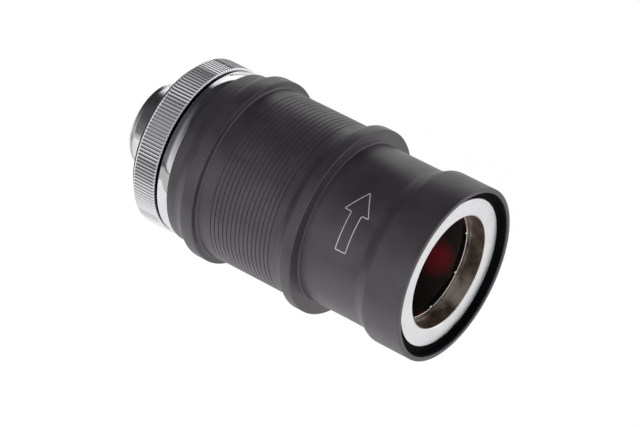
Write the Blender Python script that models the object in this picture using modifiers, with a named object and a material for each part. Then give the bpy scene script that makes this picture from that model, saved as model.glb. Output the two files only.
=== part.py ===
"""Cartridge bottom bracket: a black sleeve with two lands, a hollow spindle in two ball bearings, a chrome
cup and a knurled preload ring.

The spindle's axis is the world X axis. The origin is on that axis, midway between the outer faces of the two
lands that sit in the frame's shell, and +X points to the open socket end. Every turned piece is drawn in its
own frame, with its axis along local Z, and is laid over by the empty that it is parented to.
"""
import math

import bmesh
import bpy
from mathutils import Matrix

MM = 0.001

# Clearances
GAP = 0.3 * MM  # between faces that touch on the real object
FIT = 0.25 * MM  # radial, between a ring and what it is pressed on or into
BALL_CLEARANCE = 0.2 * MM  # between a ball and its grooves, and round its cage
CUT_REACH = 0.6 * MM  # how far a cutter passes the wall that it cuts

# Facets round a full turn, and the angle above which an edge stays sharp
OUTER_STEPS = 40
INNER_STEPS = 32
SPRING_RING_STEPS = 28
BALL_SEGMENTS = 8
BALL_RINGS = 6
POCKET_SIDES = 10
NOTCH_SIDES = 8
O_RING_SIDES = 8
GROOVE_FACETS = 3
SHARP_ANGLE = 30.0  # degrees
MERGE = 0.001 * MM

# Sleeve, along the axis
LAND_SPAN = 28.8 * MM  # over both lands, half of it to each side of the origin
NECK_LENGTH = 14.85 * MM
CAP_SLOPE = 2.6 * MM
CAP_FLOOR = 0.45 * MM  # cap's slope to the shoulder that the right bearing sits on
REAR_BAND_LENGTH = 2.6 * MM
FRONT_LAND_WIDTH = 2.6 * MM
REAR_LAND_WIDTH = 3.0 * MM
FRONT_LAND_SLOPE = 1.8 * MM
REAR_LAND_SLOPE = 2.5 * MM

# Sleeve, radial walls
CAP_WALL = 1.05 * MM
NECK_WALL = 1.7 * MM
BARREL_WALL = 1.65 * MM
REAR_BAND_WALL = 1.53 * MM
LAND_HEIGHT = 1.55 * MM
EDGE = 0.15 * MM  # broken edges of the turned pieces

# Socket in the spindle's open end
SOCKET_RADIUS = 12.6 * MM
TOP_HAT_WALL = 0.8 * MM
TOP_HAT_FLANGE = 4.0 * MM  # radial width of the silver face
TOP_HAT_THICKNESS = 1.75 * MM
TOP_HAT_SLEEVE = 2.15 * MM  # length behind the flange
TOP_HAT_RECESS = 1.35 * MM  # rim to the silver face
BORE_BEVEL = 0.25 * MM
LOCK_RING_LENGTH = 1.05 * MM
LOCK_RING_LIP = 0.74 * MM  # how far its bore stands inside the socket's
LOCK_RING_NOTCHES = 8
LOCK_RING_NOTCH = 0.9 * MM
LINER_WALL = 0.7 * MM
LINER_STEP = 0.14 * MM  # liner's bore outside the lock ring's

# Spindle
SPINDLE_WALL = 1.35 * MM
SPINDLE_TUBE_WALL = 1.6 * MM  # round the liner
SHOULDER_HEIGHT = 0.7 * MM
SHOULDER_LENGTH = 1.5 * MM
SEAT_RADIUS = 10.0 * MM  # left bearing's seat
SEAT_SHOULDER_HEIGHT = 1.4 * MM
SEAT_SHOULDER_LENGTH = 2.4 * MM
TAPER_LENGTH = 2.4 * MM
BLIND_WALL = 1.6 * MM
STUB_STEP = 0.4 * MM  # seat's radius down to the stub's
STUB_LENGTH = 9.3 * MM  # adjuster ring's outer face to the stub's end
STUB_EDGE = 0.45 * MM
STUB_GROOVE_INSET = 0.85 * MM
STUB_GROOVE_WIDTH = 0.4 * MM
STUB_GROOVE_DEPTH = 0.3 * MM
CENTRE_HOLE_RADIUS = 1.6 * MM
CENTRE_HOLE_DEPTH = 1.6 * MM
HOUSING_RUNNING_GAP = 0.6 * MM

# Ball bearings: ball, count, the radial build-up from the bore outwards, and the cage and shields
RIGHT_BEARING = dict(ball=1.9 * MM, count=18, inner=0.85 * MM, space=1.35 * MM, outer=0.7 * MM,
                     cage_wall=0.55 * MM, cage_back=0.29 * MM, cage_front=0.4 * MM, shield=0.3 * MM)
LEFT_BEARING = dict(ball=3.5 * MM, count=10, inner=1.7 * MM, space=2.2 * MM, outer=1.65 * MM,
                    cage_wall=1.0 * MM, cage_back=0.8 * MM, cage_front=0.7 * MM, shield=0.45 * MM)

# Right shaft seal
SEAL_RECESS = 1.7 * MM  # rim to the seal's face
SEAL_PLATE = 0.7 * MM

# Left cup
CUP_WALL = 1.5 * MM
COLLAR_WIDTH = 3.0 * MM  # sleeve's end to the collar's outer face, gap included
COLLAR_WALL = 2.8 * MM  # collar's rim outside the bearing's bore
COLLAR_STEP = 0.1 * MM
COLLAR_STEP_WIDTH = 0.95 * MM
CUP_SHOULDER = 0.2 * MM  # sleeve's end back to the shoulder that stops the bearing
SPIGOT_WALL = 2.5 * MM
SPIGOT_ROOM = 1.05 * MM  # spigot's bore outside the left bearing's inner race
CUP_LIP = 0.35 * MM  # cup's inner end to the circlip's groove
CIRCLIP_THICKNESS = 0.8 * MM
CIRCLIP_DEPTH = 0.2 * MM  # how far a spring ring stands in its groove
CIRCLIP_HEIGHT = 1.5 * MM
CIRCLIP_OPENING = 26.0  # degrees
O_RING_SECTION = 0.6 * MM  # section radius
WAVE_HEIGHT = 0.35 * MM
WAVE_COUNT = 3
WAVE_THICKNESS = 0.35 * MM

# Left shaft seal
LEFT_SEAL_LENGTH = 3.4 * MM
LEFT_SEAL_LIP = 0.9 * MM

# Knurled preload ring and its thrust washer
RING_SMOOTH_WIDTH = 0.5 * MM
RING_KNURL_WIDTH = 5.65 * MM
RING_WALL = 3.45 * MM
RING_KNURL_STEP = 0.5 * MM  # knurl's crests above the smooth part
RING_EDGE = 0.2 * MM
WASHER_THICKNESS = 0.8 * MM
WASHER_INSET = 1.5 * MM  # ring's rim down to the washer's


def pocket_radius(bearing):
    """The cage's pockets round the balls: corners outside the clearance, so that the flats keep it."""
    return (bearing["ball"] / 2 + BALL_CLEARANCE) / math.cos(math.pi / POCKET_SIDES)


def bearing_width(bearing):
    """A bearing is as wide as its pockets, the cage's back and the shield need on each side."""
    return 2 * (pocket_radius(bearing) + bearing["cage_back"] + BALL_CLEARANCE + bearing["shield"])


def bearing_radii(bearing, shaft_radius):
    """The radii of a bearing's rings, from the shaft it sits on outwards."""
    bore = shaft_radius + FIT
    inner = bore + bearing["inner"]
    outer = inner + bearing["space"]
    return dict(bore=bore, inner=inner, outer=outer, rim=outer + bearing["outer"], pitch=(inner + outer) / 2)


# Stations along the axis
CAP_LENGTH = (TOP_HAT_RECESS + TOP_HAT_THICKNESS + GAP + SEAL_PLATE + GAP
              + bearing_width(RIGHT_BEARING) + GAP + CAP_FLOOR)
FRONT_LAND = LAND_SPAN / 2
REAR_LAND = -LAND_SPAN / 2
CAP_BACK = FRONT_LAND + NECK_LENGTH + CAP_SLOPE
RIM = CAP_BACK + CAP_LENGTH
FACE = RIM - TOP_HAT_RECESS
FLANGE_BACK = FACE - TOP_HAT_THICKNESS
SPINDLE_MOUTH = FLANGE_BACK - GAP
TOP_HAT_END = FLANGE_BACK - TOP_HAT_SLEEVE
SEAL_FACE = RIM - SEAL_RECESS
SEAL_BACK = SPINDLE_MOUTH - SEAL_PLATE
RIGHT_BEARING_FACE = SEAL_BACK - GAP
RIGHT_BEARING_BACK = RIGHT_BEARING_FACE - bearing_width(RIGHT_BEARING)
HOUSING_SHOULDER = RIGHT_BEARING_BACK - GAP
LOCK_RING_FACE = TOP_HAT_END - GAP
LOCK_RING_BACK = LOCK_RING_FACE - LOCK_RING_LENGTH
LINER_SEAT = LOCK_RING_BACK - GAP

SLEEVE_END = REAR_LAND - REAR_LAND_SLOPE - REAR_BAND_LENGTH
COLLAR_FACE = SLEEVE_END - COLLAR_WIDTH
CUP_STOP = SLEEVE_END + CUP_SHOULDER
LEFT_BEARING_BACK = CUP_STOP + GAP
LEFT_BEARING_FACE = LEFT_BEARING_BACK + bearing_width(LEFT_BEARING)
CUP_END = LEFT_BEARING_FACE + CIRCLIP_THICKNESS + 2 * GAP + CUP_LIP
CUP_SEAT_END = CUP_END + 2 * O_RING_SECTION + 2 * GAP
WASHER_SEAT = LEFT_BEARING_FACE + GAP
SEAT_SHOULDER = WASHER_SEAT + WAVE_THICKNESS + 2 * WAVE_HEIGHT + GAP
TAPER_TOP = SEAT_SHOULDER + SEAT_SHOULDER_LENGTH + TAPER_LENGTH
BLIND_END = TAPER_TOP + BLIND_WALL
RING_BACK = COLLAR_FACE - GAP
RING_KNURL_START = RING_BACK - RING_SMOOTH_WIDTH
RING_FACE = RING_KNURL_START - RING_KNURL_WIDTH
WASHER_BACK = RING_FACE - GAP
WASHER_FACE = WASHER_BACK - WASHER_THICKNESS
STUB_END = RING_FACE - STUB_LENGTH

# Radii, from the socket outwards and from the left bearing's seat outwards
TOP_HAT_OUTER = SOCKET_RADIUS + TOP_HAT_WALL
FLANGE_RADIUS = SOCKET_RADIUS + TOP_HAT_FLANGE
SPINDLE_BORE = TOP_HAT_OUTER + FIT
SPINDLE_RADIUS = SPINDLE_BORE + SPINDLE_WALL
LOCK_RING_RADIUS = SOCKET_RADIUS - LOCK_RING_LIP
LINER_RADIUS = LOCK_RING_RADIUS + LINER_STEP
LINER_OUTER = LINER_RADIUS + LINER_WALL
LINER_BORE = LINER_OUTER + GAP
TUBE_RADIUS = LINER_BORE + SPINDLE_TUBE_WALL
SHOULDER_RADIUS = SPINDLE_RADIUS + SHOULDER_HEIGHT
NECK_BORE = SHOULDER_RADIUS + HOUSING_RUNNING_GAP
NECK_RADIUS = NECK_BORE + NECK_WALL
RIGHT_RADII = bearing_radii(RIGHT_BEARING, SPINDLE_RADIUS)
CAP_BORE = RIGHT_RADII["rim"] + FIT
CAP_RADIUS = CAP_BORE + CAP_WALL

SEAT_SHOULDER_RADIUS = SEAT_RADIUS + SEAT_SHOULDER_HEIGHT
STUB_RADIUS = SEAT_RADIUS - STUB_STEP
LEFT_RADII = bearing_radii(LEFT_BEARING, SEAT_RADIUS)
CUP_BORE = LEFT_RADII["rim"] + FIT
CUP_RADIUS = CUP_BORE + CUP_WALL
COLLAR_RADIUS = CUP_BORE + COLLAR_WALL
CUP_SEAT = CUP_RADIUS + FIT
REAR_BAND_RADIUS = CUP_SEAT + REAR_BAND_WALL
BARREL_RADIUS = max(CUP_SEAT, NECK_BORE) + BARREL_WALL
LAND_RADIUS = BARREL_RADIUS + LAND_HEIGHT
SPIGOT_BORE = LEFT_RADII["inner"] + SPIGOT_ROOM
SPIGOT_RADIUS = SPIGOT_BORE + SPIGOT_WALL
RING_BORE = SPIGOT_RADIUS + GAP
RING_RADIUS = RING_BORE + RING_WALL
RING_SMOOTH_RADIUS = RING_RADIUS - RING_KNURL_STEP
WASHER_RADIUS = RING_RADIUS - WASHER_INSET

FINISHES = {
    "black_anodised": ((0.035, 0.033, 0.034), 0.45, 0.6),
    "chrome": ((0.78, 0.78, 0.78), 0.1, 1.0),
    "silver_face": ((0.86, 0.86, 0.87), 0.25, 1.0),
    "bearing_steel": ((0.56, 0.56, 0.58), 0.22, 1.0),
    "spring_steel": ((0.22, 0.22, 0.24), 0.35, 1.0),
    "black_rubber": ((0.012, 0.012, 0.012), 0.7, 0.0),
    "dark_red_liner": ((0.055, 0.018, 0.018), 0.4, 0.1),
    "cage_polymer": ((0.5, 0.34, 0.14), 0.55, 0.0),
    "washer_polymer": ((0.06, 0.06, 0.065), 0.5, 0.0),
}


def clear_scene():
    for old in list(bpy.data.objects):
        bpy.data.objects.remove(old, do_unlink=True)


def new_collection(name):
    collection = bpy.data.collections.new(name)
    bpy.context.scene.collection.children.link(collection)
    return collection


def material_for(node, finish):
    """One material for each piece, in the named finish."""
    colour, roughness, metallic = FINISHES[finish]
    material = bpy.data.materials.new(f"{node}_{finish}")
    material.use_nodes = True
    shader = material.node_tree.nodes["Principled BSDF"]
    shader.inputs["Base Color"].default_value = (*colour, 1.0)
    shader.inputs["Roughness"].default_value = roughness
    shader.inputs["Metallic"].default_value = metallic
    material.diffuse_color = (*colour, 1.0)
    return material


def axis_empty(name):
    """An empty on the axis, laid over so that its local Z is the world X axis."""
    empty = bpy.data.objects.new(name, None)
    empty.empty_display_size = SOCKET_RADIUS
    PARTS.objects.link(empty)
    empty.rotation_euler = (0.0, math.pi / 2, 0.0)
    return empty


def new_piece(name, mesh, parent, finish):
    """An object for the mesh, with its finish and smooth shading on its round faces."""
    mesh.shade_smooth()
    mesh.set_sharp_from_angle(angle=math.radians(SHARP_ANGLE))
    mesh.materials.append(material_for(name, finish))
    piece = bpy.data.objects.new(name, mesh)
    PARTS.objects.link(piece)
    piece.parent = parent
    return piece


def turned_mesh(name, profile, steps):
    """The mesh that a Screw modifier turns from a closed outline of (station, radius) points."""
    outline = bpy.data.meshes.new(f"{name}_outline")
    count = len(profile)
    edges = [(i, (i + 1) % count) for i in range(count) if profile[i][1] or profile[(i + 1) % count][1]]
    outline.from_pydata([(radius, 0.0, station) for station, radius in profile], edges, [])
    blank = bpy.data.objects.new(f"{name}_outline", outline)
    PARTS.objects.link(blank)
    screw = blank.modifiers.new("turn", "SCREW")
    screw.axis = "Z"
    screw.angle = 2 * math.pi
    screw.steps = steps
    screw.render_steps = steps
    screw.use_merge_vertices = True
    screw.merge_threshold = MERGE
    mesh = bpy.data.meshes.new_from_object(blank.evaluated_get(bpy.context.evaluated_depsgraph_get()))
    mesh.name = name
    bpy.data.objects.remove(blank, do_unlink=True)
    return mesh


def turned(name, profile, parent, finish, steps=OUTER_STEPS):
    """A piece turned from a closed outline of (station, radius) points.

    The outline runs down the outer side, from +Z to -Z, and back up the bore. Where it follows the axis
    itself, that stretch is left out, so that the ends close on one point.
    """
    return new_piece(name, turned_mesh(name, profile, steps), parent, finish)


def ring_outline(low, high, inner, outer, edge=0.0):
    """The outline of a plain ring, with its outer edges broken when edge is given."""
    if not edge:
        return [(high, outer), (low, outer), (low, inner), (high, inner)]
    return [(high, outer - edge), (high - edge, outer), (low + edge, outer), (low, outer - edge),
            (low, inner), (high, inner)]


def radial_cutters(name, count, radius, sides, inner, outer, station, parent):
    """One object of round rods that point outwards like spokes, from radius inner to radius outer."""
    mesh = bpy.data.meshes.new(name)
    rods = bmesh.new()
    lay_out = Matrix.Translation(((inner + outer) / 2, 0.0, station)) @ Matrix.Rotation(math.pi / 2, 4, "Y")
    for i in range(count):
        turn = Matrix.Rotation(2 * math.pi * i / count, 4, "Z")
        bmesh.ops.create_cone(rods, cap_ends=True, segments=sides, radius1=radius, radius2=radius,
                              depth=outer - inner, matrix=turn @ lay_out)
    rods.to_mesh(mesh)
    rods.free()
    cutter = bpy.data.objects.new(name, mesh)
    CUTTERS.objects.link(cutter)
    cutter.hide_render = True
    cutter.display_type = "WIRE"
    cutter.parent = parent
    return cutter


def cut(piece, cutter):
    boolean = piece.modifiers.new("cut", "BOOLEAN")
    boolean.operation = "DIFFERENCE"
    boolean.solver = "EXACT"
    boolean.object = cutter


def sleeve_housing(parent):
    """The black sleeve: cap, neck, two lands, barrel and rear band outside, three bores inside."""
    front_land_back = FRONT_LAND - FRONT_LAND_WIDTH
    rear_land_front = REAR_LAND + REAR_LAND_WIDTH
    outline = [
        (RIM, CAP_RADIUS - EDGE), (RIM - EDGE, CAP_RADIUS), (CAP_BACK, CAP_RADIUS),
        (CAP_BACK - CAP_SLOPE, NECK_RADIUS), (FRONT_LAND, NECK_RADIUS),
        (FRONT_LAND, LAND_RADIUS - EDGE), (FRONT_LAND - EDGE, LAND_RADIUS),
        (front_land_back, LAND_RADIUS), (front_land_back - FRONT_LAND_SLOPE, BARREL_RADIUS),
        (rear_land_front, BARREL_RADIUS), (rear_land_front, LAND_RADIUS - EDGE),
        (rear_land_front - EDGE, LAND_RADIUS), (REAR_LAND, LAND_RADIUS),
        (REAR_LAND - REAR_LAND_SLOPE, REAR_BAND_RADIUS),
        (SLEEVE_END + EDGE, REAR_BAND_RADIUS), (SLEEVE_END, REAR_BAND_RADIUS - EDGE),
        (SLEEVE_END, CUP_SEAT), (CUP_SEAT_END, CUP_SEAT), (CUP_SEAT_END, NECK_BORE),
        (HOUSING_SHOULDER, NECK_BORE), (HOUSING_SHOULDER, CAP_BORE), (RIM, CAP_BORE),
    ]
    return turned("sleeve_housing", outline, parent, "black_anodised")


def left_bearing_cup(parent):
    """The chrome cup: barrel in the sleeve, smooth collar outside it, spigot for the preload ring."""
    collar_back = SLEEVE_END - GAP
    step = COLLAR_FACE + COLLAR_STEP_WIDTH
    groove_low = LEFT_BEARING_FACE
    groove_high = groove_low + CIRCLIP_THICKNESS + 2 * GAP
    groove = CUP_BORE + CIRCLIP_DEPTH + GAP
    outline = [
        (CUP_END, CUP_RADIUS), (collar_back, CUP_RADIUS), (collar_back, COLLAR_RADIUS),
        (step, COLLAR_RADIUS), (step, COLLAR_RADIUS - COLLAR_STEP),
        (COLLAR_FACE, COLLAR_RADIUS - COLLAR_STEP), (COLLAR_FACE, SPIGOT_RADIUS),
        (RING_FACE, SPIGOT_RADIUS), (RING_FACE, SPIGOT_BORE), (CUP_STOP, SPIGOT_BORE),
        (CUP_STOP, CUP_BORE), (groove_low, CUP_BORE), (groove_low, groove), (groove_high, groove),
        (groove_high, CUP_BORE), (CUP_END, CUP_BORE),
    ]
    return turned("left_bearing_cup", outline, parent, "chrome")


def o_ring(parent):
    """The rubber ring between the cup's inner end and the sleeve's step."""
    mesh = bpy.data.meshes.new("cup_o_ring")
    centre = CUP_SEAT - O_RING_SECTION - FIT
    middle = (CUP_END + CUP_SEAT_END) / 2
    lay_out = Matrix.Translation((centre, 0.0, middle)) @ Matrix.Rotation(math.pi / 2, 4, "X")
    section = bmesh.new()
    bmesh.ops.create_circle(section, segments=O_RING_SIDES, radius=O_RING_SECTION, matrix=lay_out)
    bmesh.ops.spin(section, geom=section.verts[:] + section.edges[:], cent=(0, 0, 0), axis=(0, 0, 1),
                   angle=2 * math.pi, steps=INNER_STEPS, use_merge=True, use_duplicate=False)
    bmesh.ops.recalc_face_normals(section, faces=section.faces[:])
    section.to_mesh(mesh)
    section.free()
    return new_piece("cup_o_ring", mesh, parent, "black_rubber")


def open_ring(name, low, high, inner, outer, parent):
    """A spring ring: a flat ring with a gap at the top, as a part-turn of its outline with closed ends."""
    mesh = bpy.data.meshes.new(name)
    opening = math.radians(CIRCLIP_OPENING)
    blank = bmesh.new()
    corners = [blank.verts.new((radius, 0.0, station))
               for station, radius in ring_outline(low, high, inner, outer)]
    start = blank.faces.new(corners)
    bmesh.ops.rotate(blank, verts=blank.verts[:], cent=(0, 0, 0), matrix=Matrix.Rotation(opening / 2, 3, "Z"))
    bmesh.ops.spin(blank, geom=[start] + start.edges[:] + start.verts[:], cent=(0, 0, 0), axis=(0, 0, 1),
                   angle=2 * math.pi - opening, steps=SPRING_RING_STEPS, use_duplicate=False)
    bmesh.ops.holes_fill(blank, edges=[edge for edge in blank.edges if edge.is_boundary])
    bmesh.ops.recalc_face_normals(blank, faces=blank.faces[:])
    blank.to_mesh(mesh)
    blank.free()
    return new_piece(name, mesh, parent, "spring_steel")


def groove_points(middle, pitch_radius, ball_radius, edge_radius, side):
    """A ball groove's points on a race whose plain face is at edge_radius.

    side is -1 for the inner race, whose points run down, and 1 for the outer race, whose points run up.
    """
    track = ball_radius + BALL_CLEARANCE
    half = math.acos(abs(edge_radius - pitch_radius) / track)
    angles = [side * half * (2 * i / GROOVE_FACETS - 1) for i in range(GROOVE_FACETS + 1)]
    return [(middle + track * math.sin(a), pitch_radius + side * track * math.cos(a)) for a in angles]


def ball_bearing(side, bearing, radii, low, housing, shaft, orbit):
    """A ball bearing's races, shields, cage and balls, from station low upwards."""
    high = low + bearing_width(bearing)
    middle = (low + high) / 2
    ball = bearing["ball"] / 2
    inner_groove = groove_points(middle, radii["pitch"], ball, radii["inner"], -1)
    outer_groove = groove_points(middle, radii["pitch"], ball, radii["outer"], 1)
    turned(f"{side}_inner_race",
           [(high, radii["inner"]), *inner_groove, (low, radii["inner"]), (low, radii["bore"]),
            (high, radii["bore"])], shaft, "bearing_steel", INNER_STEPS)
    turned(f"{side}_outer_race",
           [(high, radii["rim"]), (low, radii["rim"]), (low, radii["outer"]), *outer_groove,
            (high, radii["outer"])], housing, "bearing_steel", INNER_STEPS)
    shield_inner = radii["inner"] + BALL_CLEARANCE
    shield_outer = radii["outer"] - BALL_CLEARANCE
    inboard, outboard = ("outboard", "inboard") if side == "left" else ("inboard", "outboard")
    turned(f"{side}_bearing_shield_{inboard}",
           ring_outline(low, low + bearing["shield"], shield_inner, shield_outer), housing,
           "spring_steel", INNER_STEPS)
    turned(f"{side}_bearing_shield_{outboard}",
           ring_outline(high - bearing["shield"], high, shield_inner, shield_outer), housing,
           "spring_steel", INNER_STEPS)
    cage_low = radii["pitch"] - bearing["cage_wall"] / 2
    cage_high = radii["pitch"] + bearing["cage_wall"] / 2
    pocket = pocket_radius(bearing)
    cage = turned(f"{side}_ball_cage",
                  ring_outline(middle - pocket - bearing["cage_back"], middle + bearing["cage_front"],
                               cage_low, cage_high), orbit, "cage_polymer", INNER_STEPS)
    cut(cage, radial_cutters(f"{side}_cage_pockets", bearing["count"], pocket, POCKET_SIDES,
                             cage_low - CUT_REACH, cage_high + CUT_REACH, middle, orbit))
    balls(f"{side}_bearing_ball", bearing["count"], ball, radii["pitch"], middle, orbit)


def balls(name, count, ball_radius, pitch_radius, middle, orbit):
    """A bearing's balls: one object each, on one shared mesh, in a row round the orbit's axis."""
    mesh = bpy.data.meshes.new(name)
    ball = bmesh.new()
    bmesh.ops.create_uvsphere(ball, u_segments=BALL_SEGMENTS, v_segments=BALL_RINGS, radius=ball_radius)
    ball.to_mesh(mesh)
    ball.free()
    mesh.shade_smooth()
    mesh.materials.append(material_for(name, "bearing_steel"))
    for i in range(count):
        piece = bpy.data.objects.new(f"{name}_{i + 1:02d}", mesh)
        PARTS.objects.link(piece)
        piece.parent = orbit
        angle = 2 * math.pi * i / count
        piece.location = (pitch_radius * math.cos(angle), pitch_radius * math.sin(angle), middle)
        piece.rotation_euler = (0.0, 0.0, angle)


def right_shaft_seal(parent):
    """The black seal in front of the right bearing: a wall round the silver flange and a lip behind it."""
    rim = CAP_BORE - GAP
    wall = FLANGE_RADIUS + GAP
    lip = SPINDLE_RADIUS + GAP
    outline = [(SEAL_FACE, rim), (SEAL_BACK, rim), (SEAL_BACK, lip), (SPINDLE_MOUTH, lip),
               (SPINDLE_MOUTH, wall), (SEAL_FACE, wall)]
    return turned("right_shaft_seal", outline, parent, "black_rubber")


def left_shaft_seal(parent):
    """The rubber seal between the cup's spigot and the spindle."""
    high = RING_FACE + GAP + LEFT_SEAL_LENGTH
    low = RING_FACE + GAP
    rim = SPIGOT_BORE - GAP
    lip = SEAT_RADIUS + GAP
    web = (rim + lip) / 2
    outline = [(high, rim), (low, rim), (low, lip), (low + LEFT_SEAL_LIP, lip),
               (low + LEFT_SEAL_LIP, web), (high, web)]
    return turned("left_shaft_seal", outline, parent, "black_rubber", INNER_STEPS)


def hollow_spindle(parent):
    """The stepped spindle: a wide open tube at +Z, then a bearing seat and a blind stub at -Z."""
    clip_high = LEFT_BEARING_BACK
    clip_low = clip_high - CIRCLIP_THICKNESS - 2 * GAP
    clip_groove = SEAT_RADIUS - CIRCLIP_DEPTH - GAP
    stub_top = RING_FACE
    groove_low = STUB_END + STUB_GROOVE_INSET
    groove_high = groove_low + STUB_GROOVE_WIDTH
    stub_groove = STUB_RADIUS - STUB_GROOVE_DEPTH
    outline = [
        (SPINDLE_MOUTH, SPINDLE_RADIUS), (HOUSING_SHOULDER, SPINDLE_RADIUS),
        (HOUSING_SHOULDER, SHOULDER_RADIUS), (HOUSING_SHOULDER - SHOULDER_LENGTH, SHOULDER_RADIUS),
        (HOUSING_SHOULDER - SHOULDER_LENGTH, TUBE_RADIUS), (TAPER_TOP, TUBE_RADIUS),
        (TAPER_TOP - TAPER_LENGTH, SEAT_SHOULDER_RADIUS),
        (SEAT_SHOULDER, SEAT_SHOULDER_RADIUS), (SEAT_SHOULDER, SEAT_RADIUS), (clip_high, SEAT_RADIUS),
        (clip_high, clip_groove), (clip_low, clip_groove), (clip_low, SEAT_RADIUS),
        (stub_top, SEAT_RADIUS), (stub_top, STUB_RADIUS), (groove_high, STUB_RADIUS),
        (groove_high, stub_groove), (groove_low, stub_groove), (groove_low, STUB_RADIUS),
        (STUB_END + STUB_EDGE, STUB_RADIUS), (STUB_END, STUB_RADIUS - STUB_EDGE),
        (STUB_END, CENTRE_HOLE_RADIUS), (STUB_END + CENTRE_HOLE_DEPTH, 0.0),
        (BLIND_END, 0.0), (BLIND_END, LINER_BORE), (LINER_SEAT, LINER_BORE),
        (LINER_SEAT, SPINDLE_BORE), (SPINDLE_MOUTH, SPINDLE_BORE),
    ]
    return turned("hollow_spindle", outline, parent, "chrome")


def right_top_hat(parent):
    """The silver bush: a flat flange over the spindle's mouth and a short sleeve inside it."""
    outline = [
        (FACE, FLANGE_RADIUS - EDGE), (FACE - EDGE, FLANGE_RADIUS), (FLANGE_BACK, FLANGE_RADIUS),
        (FLANGE_BACK, TOP_HAT_OUTER), (TOP_HAT_END, TOP_HAT_OUTER), (TOP_HAT_END, SOCKET_RADIUS),
        (FACE - BORE_BEVEL, SOCKET_RADIUS), (FACE, SOCKET_RADIUS + BORE_BEVEL),
    ]
    return turned("right_top_hat", outline, parent, "silver_face")


def socket_lock_ring(parent):
    """The thin ring at the bottom of the bright bore, with small notches round its bore."""
    piece = turned("socket_lock_ring",
                   ring_outline(LOCK_RING_BACK, LOCK_RING_FACE, LOCK_RING_RADIUS, SPINDLE_BORE - GAP),
                   parent, "chrome")
    notch_floor = (LOCK_RING_RADIUS + SPINDLE_BORE - GAP) / 2
    cut(piece, radial_cutters("lock_ring_notches", LOCK_RING_NOTCHES, LOCK_RING_NOTCH / 2, NOTCH_SIDES,
                              LOCK_RING_RADIUS - CUT_REACH, notch_floor, LOCK_RING_FACE, parent))
    return piece


def spindle_bore_liner(parent):
    return turned("spindle_bore_liner",
                  ring_outline(BLIND_END + GAP, LINER_SEAT, LINER_RADIUS, LINER_OUTER), parent,
                  "dark_red_liner", INNER_STEPS)


def wave_washer(parent):
    """The spring washer: a thin flat ring whose faces rise and fall with the angle round the axis."""
    inner = SEAT_RADIUS + FIT
    outer = SEAT_SHOULDER_RADIUS
    low = WASHER_SEAT + WAVE_HEIGHT
    mesh = turned_mesh("preload_wave_washer", ring_outline(low, low + WAVE_THICKNESS, inner, outer),
                       INNER_STEPS)
    for vert in mesh.vertices:
        angle = math.atan2(vert.co.y, vert.co.x)
        vert.co.z += WAVE_HEIGHT * math.sin(WAVE_COUNT * angle)
    return new_piece("preload_wave_washer", mesh, parent, "spring_steel")


def knurled_adjuster_ring(parent):
    """The preload ring: a smooth seat against the collar, then the knurled grip."""
    outline = [
        (RING_BACK, RING_SMOOTH_RADIUS), (RING_KNURL_START, RING_SMOOTH_RADIUS),
        (RING_KNURL_START - RING_EDGE, RING_RADIUS), (RING_FACE + RING_EDGE, RING_RADIUS),
        (RING_FACE, RING_RADIUS - RING_EDGE), (RING_FACE, RING_BORE), (RING_BACK, RING_BORE),
    ]
    return turned("knurled_adjuster_ring", outline, parent, "chrome")


def adjuster_thrust_washer(parent):
    return turned("adjuster_thrust_washer",
                  ring_outline(WASHER_FACE, WASHER_BACK, SEAT_RADIUS + 2 * GAP, WASHER_RADIUS, EDGE), parent,
                  "washer_polymer")


def build():
    shell_axis = axis_empty("shell_axis")
    spindle_axis = axis_empty("spindle_axis")
    right_orbit = axis_empty("right_ball_orbit")
    left_orbit = axis_empty("left_ball_orbit")
    adjuster_axis = axis_empty("adjuster_axis")

    sleeve_housing(shell_axis)
    left_bearing_cup(shell_axis)
    o_ring(shell_axis)
    clip_low = LEFT_BEARING_FACE + GAP
    open_ring("left_bearing_circlip", clip_low, clip_low + CIRCLIP_THICKNESS,
              CUP_BORE + CIRCLIP_DEPTH - CIRCLIP_HEIGHT, CUP_BORE + CIRCLIP_DEPTH, shell_axis)
    right_shaft_seal(shell_axis)
    left_shaft_seal(shell_axis)
    ball_bearing("right", RIGHT_BEARING, RIGHT_RADII, RIGHT_BEARING_BACK, shell_axis, spindle_axis,
                 right_orbit)
    ball_bearing("left", LEFT_BEARING, LEFT_RADII, LEFT_BEARING_BACK, shell_axis, spindle_axis, left_orbit)

    hollow_spindle(spindle_axis)
    right_top_hat(spindle_axis)
    socket_lock_ring(spindle_axis)
    spindle_bore_liner(spindle_axis)
    clip_high = LEFT_BEARING_BACK - GAP
    open_ring("spindle_circlip", clip_high - CIRCLIP_THICKNESS, clip_high,
              SEAT_RADIUS - CIRCLIP_DEPTH, SEAT_RADIUS - CIRCLIP_DEPTH + CIRCLIP_HEIGHT, spindle_axis)
    wave_washer(spindle_axis)

    knurled_adjuster_ring(adjuster_axis)
    adjuster_thrust_washer(adjuster_axis)


clear_scene()
PARTS = new_collection("bottom_bracket")
CUTTERS = new_collection("cutters")
build()
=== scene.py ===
"""The looks of the cartridge bottom bracket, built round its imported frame.

The spindle's axis is the X axis and +X is the open socket end. Every turned piece starts as a flat outline
of (station, radius, rounding) points in the XZ plane, gets its corners rounded, and is spun round X.
"""
import math

import bmesh
import bpy
from bpy.props import FloatProperty, FloatVectorProperty, IntProperty, PointerProperty
from bpy.types import Operator, Panel, PropertyGroup
from mathutils import Matrix, Vector


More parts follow.
